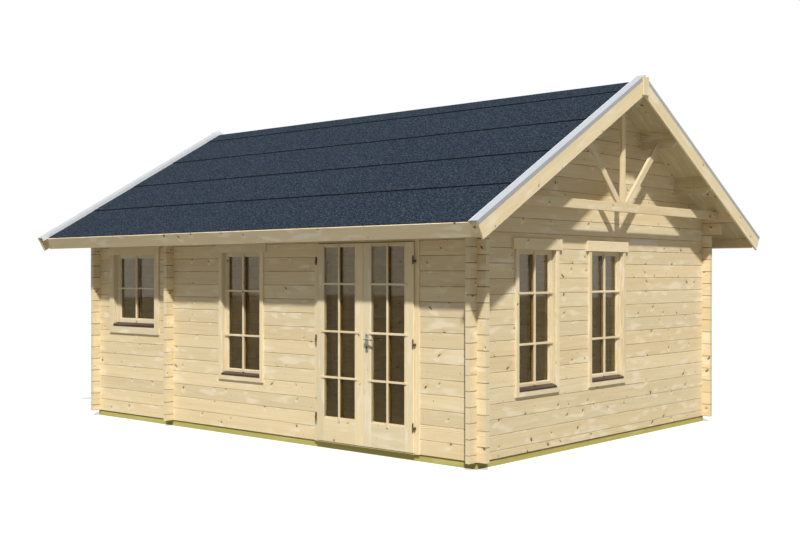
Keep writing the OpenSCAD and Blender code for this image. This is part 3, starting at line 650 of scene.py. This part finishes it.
# Door frame
# Planed posts and a head round the doorway, with stops behind the leaves and a low sill board.
joinery = timber_material("joinery_spruce", (0.860, 0.755, 0.520), (0.720, 0.595, 0.365), 0.16, read_board)
f0, f1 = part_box("door_frame")
leaf_boxes = {hand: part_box(hand + "_door_leaf") for hand in ("left", "right")}
leaf_front, leaf_bottom = leaf_boxes["left"][0].yz
leaf_back, leaf_top = leaf_boxes["left"][1].yz
leaf_gap = 0.005
left_in = leaf_boxes["left"][0].x - leaf_gap
right_in = leaf_boxes["right"][1].x + leaf_gap
stop_y = leaf_back + leaf_gap
stop_w = 0.015
left_stop, right_stop = left_in + stop_w, right_in - stop_w
head_z = leaf_top + leaf_gap
sill_nose = 0.014
sill_top = leaf_bottom - leaf_gap - 0.001
frame_rows = [
    box_board(f0, (left_in, f1.y, head_z), Z, X),
    box_board((right_in, f0.y, f0.z), (f1.x, f1.y, head_z), Z, X),
    box_board((f0.x, f0.y, head_z), f1, X, Z),
    box_board((left_in, stop_y, f0.z), (left_stop, f1.y, head_z), Z, X),
    box_board((right_stop, stop_y, f0.z), (right_in, f1.y, head_z), Z, X),
    box_board((left_stop, stop_y, head_z - stop_w), (right_stop, f1.y, head_z), X, Z),
    box_board((left_stop, stop_y, f0.z), (right_stop, f1.y, leaf_bottom + stop_w), X, Y),
    box_board((left_in, f0.y - sill_nose, f0.z), (right_in, stop_y, sill_top), X, Y),
]
build_boards("door_frame_boards", frame_rows, joinery, nodes=("door_frame",), edge=0.002)

# Door leaves
# Each leaf is a mortised frame of stiles and rails round one tall sealed pane, with beads round the glass, the
# left front one grey-brown as painted shade of the reveal behind the glass, and flat bars on its face that
# divide it into two by four lights.
bar_w = 0.020
bar_t = 0.009
bar_lap = 0.026
bar_step = 0.001
bead_w = 0.012
bead_in = 0.004
pane_clear = 0.0005
strip_t = 0.0025
strip_in = 0.002
strip_edge = 0.0007
door_bar_z = (0.681, 1.113, 1.560)
pane_rise = 0.018
# Painted shade: the grey-brown bead at the left of each pane stands for the reveal in shade behind the glass.
reveal_shade = timber_material("pane_reveal_shade", (0.450, 0.392, 0.272), (0.360, 0.308, 0.205), 0.0, read_board)
# Painted shade: dark brown strips beside the bars on both faces of the glass.
bar_shade = timber_material("bar_shade_painted", (0.360, 0.225, 0.090), (0.220, 0.130, 0.050), 0.0, read_board)
glass, tree = new_material("window_pane")
film = grains(tree, coords(tree), (3.0, 3.0, 1.4), 3.0)
set_shader(tree, {
    "Base Color": tint(tree, film, (0.80, 0.69, 0.43), (0.88, 0.79, 0.54)),
    "Roughness": ramp(tree, film, 0.3, 0.7, 0.010, 0.035),
    "Specular Tint": (1.0, 0.91, 0.76),
    "Specular IOR Level": 1.0,
    "IOR": 1.56,
    "Transmission Weight": 1.0,
})
for hand in ("left", "right"):
    body = hand + "_leaf"
    low, high = leaf_boxes[hand]
    g0, g1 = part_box(hand + "_door_glass")
    x0, x1, z0, z1 = g0.x, g1.x, g0.z, g1.z + pane_rise
    rows = [
        box_board(low, (x0, high.y, high.z), Z, X),
        box_board((x1, low.y, low.z), high, Z, X),
        box_board((x0, low.y, low.z), (x1, high.y, z0), X, Z),
        box_board((x0, low.y, z1), (x1, high.y, high.z), X, Z),
    ]
    build_boards(body + "_timbers", rows, joinery, body, (hand + "_door_leaf",))
    beads = []
    for y0, y1 in ((low.y + bead_in, g0.y - pane_clear), (g1.y + pane_clear, high.y - bead_in)):
        beads += [
            box_board((x0, y0, z0), (x0 + bead_w, y1, z1), Z, X),
            box_board((x1 - bead_w, y0, z0), (x1, y1, z1), Z, X),
            box_board((x0 + bead_w, y0, z0), (x1 - bead_w, y1, z0 + bead_w), X, Z),
            box_board((x0 + bead_w, y0, z1 - bead_w), (x1 - bead_w, y1, z1), X, Z),
        ]
    build_boards(body + "_beads", beads[1:], joinery, body, edge=0.002)
    build_boards(body + "_reveal_shade", beads[:1], reveal_shade, body, edge=0.002)
    bar0, bar1 = (x0 + x1) / 2 - bar_w / 2, (x0 + x1) / 2 + bar_w / 2
    grids = []
    for y0, y1, lap in ((low.y - bar_t, low.y, bar_lap), (g0.y - strip_t, g0.y, 0.0),
                        (g1.y, high.y - strip_in, 0.0)):
        grid = [box_board((bar0, y0, z0 - lap), (bar1, y1, z1 + lap * 0.8), Z, X)]
        for z in door_bar_z:
            grid.append(box_board((x0 - lap, y0 + bar_step, z - bar_w / 2),
                                  (x1 + lap, y1, z + bar_w / 2), X, Z))
        grids.append(grid)
    build_boards(body + "_bars", grids[0], joinery, body, edge=0.002)
    build_boards(body + "_bar_shades", grids[1] + grids[2], bar_shade, body, edge=strip_edge)
    pane = [box_board((x0, g0.y, z0), (x1, g1.y, z1), Z, X)]
    build_boards(body + "_pane", pane, glass, body, (hand + "_door_glass",), 0.0005)

# Hinges and handle
# Brown coated pin hinges on the outer edges, and a long steel plate with a lever on the right leaf.
hinge, tree = new_material("hinge_brown")
rub = grains(tree, coords(tree), (180.0, 180.0, 180.0))
set_shader(tree, {
    "Base Color": tint(tree, ramp(tree, rub, 0.55, 0.8), (0.105, 0.066, 0.032), (0.230, 0.160, 0.092)),
    "Roughness": ramp(tree, rub, 0.2, 0.8, 0.35, 0.55),
    "Metallic": 0.2,
})
knuckle_r = 0.007
knuckle_h = 0.038
pin_play = 0.0003
pin_y = leaf_front - 0.008
arm_near, arm_far = 0.0026, 0.0165
arm_low, arm_high = -0.020, -0.001
flap_far = 0.0068
flap_t = 0.0035
flap_low, flap_high = 0.002, knuckle_h - 0.004
hinge_z0, hinge_z2 = leaf_bottom + 0.229, leaf_top - 0.160
hinge_zs = np.array([hinge_z0, (hinge_z0 + hinge_z2) / 2, hinge_z2])


def turned_rings(x, y, zs, profile):
    """Turned pieces on upright axes: radius against height in the profile, at each height in the list."""
    turn = np.linspace(0.0, 2.0 * math.pi, 24, endpoint=False)
    radius, rise = np.array(profile).T
    ring_x = x + radius[:, None] * np.cos(turn)
    ring_y = y + radius[:, None] * np.sin(turn)
    rings = np.stack([ring_x, ring_y, np.broadcast_to(rise[:, None], ring_x.shape)], axis=-1)
    rings = np.repeat(rings[None], len(zs), axis=0)
    rings[..., Z] += np.array(zs)[:, None, None]
    return rings


def build_rings(name, rings, material, body="cabin", nodes=()):
    """A piece whose skins run through lists of rings."""
    settle(name, ring_mesh(name, np.concatenate(rings)), material, body, nodes)


barrel = [(0.0015, 0.0), (knuckle_r - 0.0012, 0.0002), (knuckle_r, 0.0015), (knuckle_r, knuckle_h - 0.006),
          (knuckle_r - 0.0008, knuckle_h - 0.0045), (knuckle_r, knuckle_h - 0.003),
          (knuckle_r - 0.002, knuckle_h), (0.0015, knuckle_h + 0.0006)]
lower_barrel = [(r, -z) for r, z in barrel[::-1]]
frame_barrels, frame_arms = [], []
for hand, out, edge_x in (("left", -1.0, left_in), ("right", 1.0, right_in)):
    body = hand + "_leaf"
    x = edge_x - out * leaf_gap / 2
    frame_barrels.append(turned_rings(x, pin_y, hinge_zs, lower_barrel))
    leaf_flaps = []
    for z in hinge_zs:
        frame_arms.append(box_board((x + out * arm_near, pin_y, z + arm_low),
                                    (x + out * arm_far, f0.y, z + arm_high), Z, Y))
        leaf_flaps.append(box_board((x - out * arm_near, leaf_front - flap_t, z + flap_low),
                                    (x - out * flap_far, leaf_front, z + flap_high), Z, X))
    build_rings(body + "_knuckles", [turned_rings(x, pin_y, hinge_zs + pin_play, barrel)], hinge,
                body, (hand + "_leaf_hinges",))
    build_boards(hand + "_hinge_flaps", leaf_flaps, hinge, body, edge=0.001)
build_rings("frame_knuckles", frame_barrels, hinge, nodes=("frame_hinges",))
build_boards("frame_hinge_arms", frame_arms, hinge, edge=0.001)

steel, tree = new_material("handle_satin_steel")
brush = grains(tree, coords(tree), (900.0, 900.0, 40.0))
set_shader(tree, {
    "Base Color": tint(tree, brush, (0.47, 0.44, 0.425), (0.66, 0.625, 0.605)),
    "Roughness": ramp(tree, brush, 0.2, 0.8, 0.25, 0.42),
    "Metallic": 0.8,
})
plate_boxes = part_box("handle_plates")
lever_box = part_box("handle_lever")
handle_x = (plate_boxes[0].x + plate_boxes[1].x) / 2
handle_z = (lever_box[0].z + lever_box[1].z) / 2
plate_z = (plate_boxes[0].z + plate_boxes[1].z) / 2
plate_w = plate_boxes[1].x - plate_boxes[0].x
plate_h = plate_boxes[1].z - plate_boxes[0].z
plate_t = 0.006
plate_corner = 0.012
lock_up = 0.042
lock_w, lock_h, lock_corner = 0.017, 0.030, 0.0084
screw_in = 0.012
screw_w, screw_corner = 0.0090, 0.0044
lever_out = 0.040
lever_more = 0.012


def plate_rings(z, width, height, corner, face, out, depths):
    """A flat plate on a leaf face: a rectangle with round corners at each depth, inset by the amount beside
    it."""
    turn = np.radians(np.concatenate([np.linspace(q, q + 90, 7) for q in (0, 90, 180, 270)]))
    side_x = np.repeat([1, -1, -1, 1], 7)
    side_z = np.repeat([1, 1, -1, -1], 7)
    rings = []
    for depth, inset in depths:
        radius = max(corner - inset, 0.0002)
        ring_x = handle_x + side_x * (width / 2 - corner) + radius * np.cos(turn)
        ring_z = z + side_z * (height / 2 - corner) + radius * np.sin(turn)
        ring = np.stack([ring_x, np.full_like(ring_x, face + out * depth), ring_z], axis=-1)
        rings.append(ring if out < 0 else ring[::-1])
    return np.array(rings)[None]


def lever_rings(face, out):
    """A lever as an oval carried along its path: out of the plate, round a bend and along the leaf with a
    slight wave, with a wide collar at the start and a rounded tip."""
    reach, bend, length = lever_out, 0.016, lever_box[1].x - handle_x + lever_more
    neck = np.stack([np.zeros(6), np.array([0.0, 0.006, 0.008, 0.012, 0.018, reach - bend])], axis=-1)
    corner = np.linspace(0.0, math.pi / 2, 9)[1:]
    curve = np.stack([bend * (1 - np.cos(corner)), reach - bend + bend * np.sin(corner)], axis=-1)
    grip = np.stack([np.linspace(bend, length, 22)[1:], np.full(21, reach)], axis=-1)
    flat = np.concatenate([neck, curve, grip])
    wave = 0.0045 * np.sin(np.clip((flat[:, 0] - bend) / (length - bend), 0, 1) * 2 * math.pi)
    path = np.stack([handle_x + flat[:, 0], face + out * flat[:, 1], handle_z + wave], axis=-1)
    run = np.gradient(path, axis=0)
    run[..., Z] *= 0.2
    run /= np.linalg.norm(run, axis=1)[:, None]
    side = np.cross(run, (0.0, 0.0, 1.0))
    side /= np.linalg.norm(side, axis=1)[:, None]
    rise = np.cross(run, side)
    step = np.linspace(0.0, 1.0, len(flat))
    wide = np.where(flat[:, 1] < 0.007, 0.013, 0.0075 + 0.0012 * step)
    tip = np.sqrt(np.clip(1.0 - np.clip((flat[:, 0] - (length - 0.007)) / 0.0071, 0, 1) ** 2, 0.01, 1))
    turn = np.linspace(0.0, 2 * math.pi, 20, endpoint=False)
    rings = (path[:, None] + side[:, None] * (wide * tip)[:, None, None] * np.cos(turn)[None, :, None]
             + rise[:, None] * (wide * tip * 0.92)[:, None, None] * np.sin(turn)[None, :, None])
    return rings[None]


plates, plugs, levers = [], [], []
plate_steps = ((0.0, 0.0), (plate_t - 0.002, 0.0), (plate_t - 0.0006, 0.0008), (plate_t, 0.0025))
lock_steps = ((plate_t - 0.001, 0.0), (plate_t + 0.002, 0.0), (plate_t + 0.003, 0.001))
screw_steps = ((plate_t - 0.001, 0.0), (plate_t + 0.0004, 0.0), (plate_t + 0.0012, 0.0014))
plate_low, plate_high = plate_z - plate_h / 2, plate_z + plate_h / 2
for face, out in ((leaf_front, -1.0), (leaf_back, 1.0)):
    plates.append(plate_rings(plate_z, plate_w, plate_h, plate_corner, face, out, plate_steps))
    plugs.append(plate_rings(plate_low + lock_up, lock_w, lock_h, lock_corner, face, out, lock_steps))
    for z in (plate_low + screw_in, plate_high - screw_in):
        plugs.append(plate_rings(z, screw_w, screw_w, screw_corner, face, out, screw_steps))
    levers.append(lever_rings(face + out * (plate_t - 0.001), out))
dark_steel = steel.copy()
dark_steel.name = "lock_dark_steel"
dark_mix = [node for node in dark_steel.node_tree.nodes if node.bl_idname == "ShaderNodeMix"][0]
feed(dark_steel.node_tree, dark_mix, {6: (0.060, 0.058, 0.055), 7: (0.120, 0.115, 0.110)})
build_rings("handle_long_plates", plates, steel, "right_leaf", ("handle_plates",))
build_rings("handle_lock_plugs", plugs, dark_steel, "right_leaf")
build_rings("handle_wave_levers", levers, steel, "lever", ("handle_lever",))

# Windows
# Each window is a sash with a sealed pane and flat glazing bars, set into the logs behind a casing of four
# boards with a stepped head, and a dark stained sill under it.
casing_t = 0.018
head_h = 0.101
head_step = 0.006
lining_t = 0.012
sash_setback = 0.034
sash_t = 0.034
sash_head = 0.046
glass_set = 0.019
glass_t = 0.014
sill_out = 0.006
sill_round = 0.006
sill_ease = 0.003
window_bar_t = 0.016
window_lap = 0.029
window_bead = 0.008
bead_near, bead_far = 0.0003, 0.012
tall = dict(w=0.616, z=0.610, h=1.274, side=0.052, foot=0.060, board=0.048, reach=0.042, bars=(0.302, 0.694),
            bar=0.020, sill=(0.034, 0.017))
small = dict(w=0.796, z=1.058, h=0.826, side=0.072, foot=0.084, board=0.080, reach=0.010, bars=(0.5,),
             bar=0.016, sill=(0.042, 0.024))
windows = (("front", -0.227, tall), ("gable", -1.210, tall), ("gable", -0.005, tall),
           ("front", -2.070, small))
sash_wood = timber_material("sash_spruce", (0.790, 0.705, 0.500), (0.650, 0.545, 0.350), 0.16, read_board)
sill_wood = timber_material("sill_stain", (0.082, 0.036, 0.033), (0.044, 0.018, 0.017), 0.0, read_board)
set_shader(sill_wood.node_tree, {"Coat Weight": 0.35, "Coat Roughness": 0.22})


def wall_place(facing, centre, a, d, z):
    """Places on a wall: a runs along the wall from the middle of the window, d stands out from the log
    face."""
    along = centre + a
    return np.stack([along, -wall_y - d, z] if facing == "front" else [wall_x + d, along, z], axis=-1)


def window_boards(facing, centre, form):
    """The boards of one window, by the piece they belong to."""
    parts = {"casing": [], "sash": [], "bars": [], "backs": [], "beads": []}
    half, z0, z1 = form["w"] / 2, form["z"], form["z"] + form["h"]
    inner = half - lining_t
    outer = inner + form["board"]
    head_half = outer + form["reach"]
    head = z1 - lining_t
    face, back = -sash_setback, -sash_setback - sash_t
    pane, pane_z0, pane_z1 = half - form["side"], z0 + form["foot"], z1 - sash_head
    pane_front, pane_back = face - glass_set, face - glass_set - glass_t
    bead0, bead1, bead_half = pane_front + bead_near, pane_front + bead_far, pane - window_bead

    def put(part, a0, a1, d0, d1, low, high, upright=False):
        level = X if facing == "front" else Y
        run, width = (Z, level) if upright else (level, Z)
        parts[part].append(box_board(wall_place(facing, centre, a0, d0, low),
                                     wall_place(facing, centre, a1, d1, high), run, width))

    for side in (-1, 1):
        put("casing", side * inner, side * outer, 0.0, casing_t, z0, head, True)
        put("sash", side * inner, side * half, face, 0.0, z0, head, True)
        put("sash", side * pane, side * half, back, face, z0, z1, True)
        put("beads", side * pane, side * bead_half, bead0, bead1, pane_z0, pane_z1, True)
    put("casing", -outer, outer, 0.0, casing_t, z0 - form["board"], z0)
    put("casing", -head_half, head_half, 0.0, casing_t + head_step, head, head + head_h)
    put("sash", -half, half, face, 0.0, head, z1)
    put("sash", -pane, pane, back, face, z0, pane_z0)
    put("sash", -pane, pane, back, face, pane_z1, z1)
    for z in (pane_z0, pane_z1 - window_bead):
        put("beads", -bead_half, bead_half, bead0, bead1, z, z + window_bead)
    bar = form["bar"] / 2
    # The strips on the two faces of the glass are painted shade beside the bars.
    layers = (("bars", face, face + window_bar_t, window_lap),
              ("backs", pane_front, pane_front + strip_t, 0.0),
              ("backs", back + 0.001, pane_back, 0.0))
    for part, d0, d1, lap in layers:
        put(part, -bar, bar, d0, d1, pane_z0 - lap * 0.6, pane_z1 + lap * 0.4, True)
        for share in form["bars"]:
            z = pane_z0 + share * (pane_z1 - pane_z0)
            put(part, -pane - lap, pane + lap, d0, d1 - bar_step, z - bar, z + bar)
    return parts


def sill_skin(facing, centre, form):
    """A sill as a wedge with a round nose carried along the wall, a little smaller at its two ends: the places
    of its rings, the grain frame and the end mask."""
    reach = form["w"] / 2 - lining_t - fit
    front, back, low = casing_t + sill_out, -sash_setback + fit, form["z"] + fit
    sill_h, sill_front = form["sill"]
    nose = np.radians(np.linspace(75.0, -90.0, 8))
    middle = np.where(nose > 0, sill_front - sill_round, sill_round)
    d = np.concatenate([[back, back], front - sill_round + sill_round * np.cos(nose)])
    rise = np.concatenate([[0.0, sill_h], middle + sill_round * np.sin(nose)])
    a = np.array([-reach, -reach + sill_ease, reach - sill_ease, reach])
    shrink = np.array([0.86, 1.0, 1.0, 0.86])[:, None]
    ring_d = back + (d - back) * (0.5 + 0.5 * shrink)
    ring_z = low + rise * shrink
    ring_a = np.broadcast_to(a[:, None], ring_z.shape)
    grain = np.stack([ring_a, ring_d, ring_z], axis=-1)
    ends = np.broadcast_to(np.array([1.0, 0.0, 0.0, 1.0])[:, None], ring_z.shape)
    return wall_place(facing, centre, ring_a, ring_d, ring_z), grain, ends


made = [window_boards(*window) for window in windows]
for kind, chosen, casing_node, sash_node in (("tall", made[:3], "tall_window_casings", "tall_window_sashes"),
                                             ("small", made[3:], "small_window_casing", "small_window_sash")):
    rows = {part: [row for window in chosen for row in window[part]] for part in chosen[0]}
    build_boards(kind + "_casing_boards", rows["casing"], joinery, nodes=(casing_node,), edge=0.0025)
    build_boards(kind + "_sash_timbers", rows["sash"], sash_wood, nodes=(sash_node,), edge=0.002)
    build_boards(kind + "_window_bars", rows["bars"], joinery, edge=0.002)
    build_boards(kind + "_bar_shades", rows["backs"], bar_shade, edge=strip_edge)
    build_boards(kind + "_window_beads", rows["beads"], joinery, edge=0.001)
skins, grain, ends = (np.array(part) for part in zip(*(sill_skin(*window) for window in windows)))
sill_mesh = ring_mesh("sloping_sills", skins)
tones = np.broadcast_to(rng.random(len(windows))[:, None, None], ends.shape)
keep_grain(sill_mesh, grain, tones, ends)
settle("sloping_sills", sill_mesh, sill_wood, nodes=("window_sills",))
finish_nodes(glass, "window_glass")

# Stage
# A wide pale floor under a white sky, with one soft key lamp from behind the camera.
floor_half = 60.0
floor_z = -0.001
floor_glow = 0.62
sky_fill = 0.22
floor_mesh = bpy.data.meshes.new("studio_floor")
floor_turns = ((-1, -1), (1, -1), (1, 1), (-1, 1))
floor_corners = [(x * floor_half, y * floor_half, floor_z) for x, y in floor_turns]
floor_mesh.from_pydata(floor_corners, [], [(0, 1, 2, 3)])
floor_material, tree = new_material("studio_white")
path = add_node(tree, "ShaderNodeLightPath").outputs
seen = calc(tree, "MAXIMUM", path["Is Camera Ray"], path["Is Transmission Ray"])
# Glossy rays see the floor as dark olive: a painted reflection, so the panes show a dark ground.
lit = tint(tree, path["Is Glossy Ray"], (0.322, 0.322, 0.312), (0.055, 0.043, 0.016))
set_shader(tree, {
    "Base Color": tint(tree, seen, lit, (0.42, 0.42, 0.42)),
    "Emission Color": (1.0, 1.0, 1.0),
    "Emission Strength": calc(tree, "MULTIPLY", seen, floor_glow),
    "Roughness": 0.95,
    "Specular IOR Level": 0.0,
})
floor_mesh.materials.append(floor_material)
floor = put_in_scene("studio_floor", floor_mesh)

world = bpy.data.worlds.new("studio_sky")
bpy.context.scene.world = world
world.use_nodes = True
sky = world.node_tree
path = add_node(sky, "ShaderNodeLightPath").outputs
seen = calc(sky, "MAXIMUM", path["Is Camera Ray"],
            calc(sky, "MAXIMUM", path["Is Glossy Ray"], path["Is Transmission Ray"]))
feed(sky, sky.nodes["Background"], {"Strength": calc(sky, "MULTIPLY_ADD", seen, 1.0 - sky_fill, sky_fill),
                                    "Color": (1.0, 1.0, 1.0)})

key = bpy.data.lights.new("key_lamp", "SUN")
key.energy = 4.2
key.angle = math.radians(2.0)
key.color = (1.0, 0.985, 0.955)
to_key = np.array([0.432, -0.466, 0.72])
key_object = put_in_scene("key_lamp", key)
key_object.rotation_euler = (math.acos(to_key[2] / np.linalg.norm(to_key)), 0.0,
                             math.atan2(to_key[1], to_key[0]) + math.pi / 2)

camera_data = bpy.data.cameras.new("photo_camera")
camera_data.lens = 50.0
camera_data.sensor_width = 36.0
photo_width = 800.0
horizon_below_middle = 7.9
camera_data.shift_y = horizon_below_middle / photo_width
camera = put_in_scene("photo_camera", camera_data)
camera.location = (8.506, -9.552, 1.649)
camera.rotation_euler = (math.pi / 2, 0.0, math.radians(41.4))
bpy.context.scene.camera = camera
bpy.context.scene.view_settings.view_transform = "Standard"
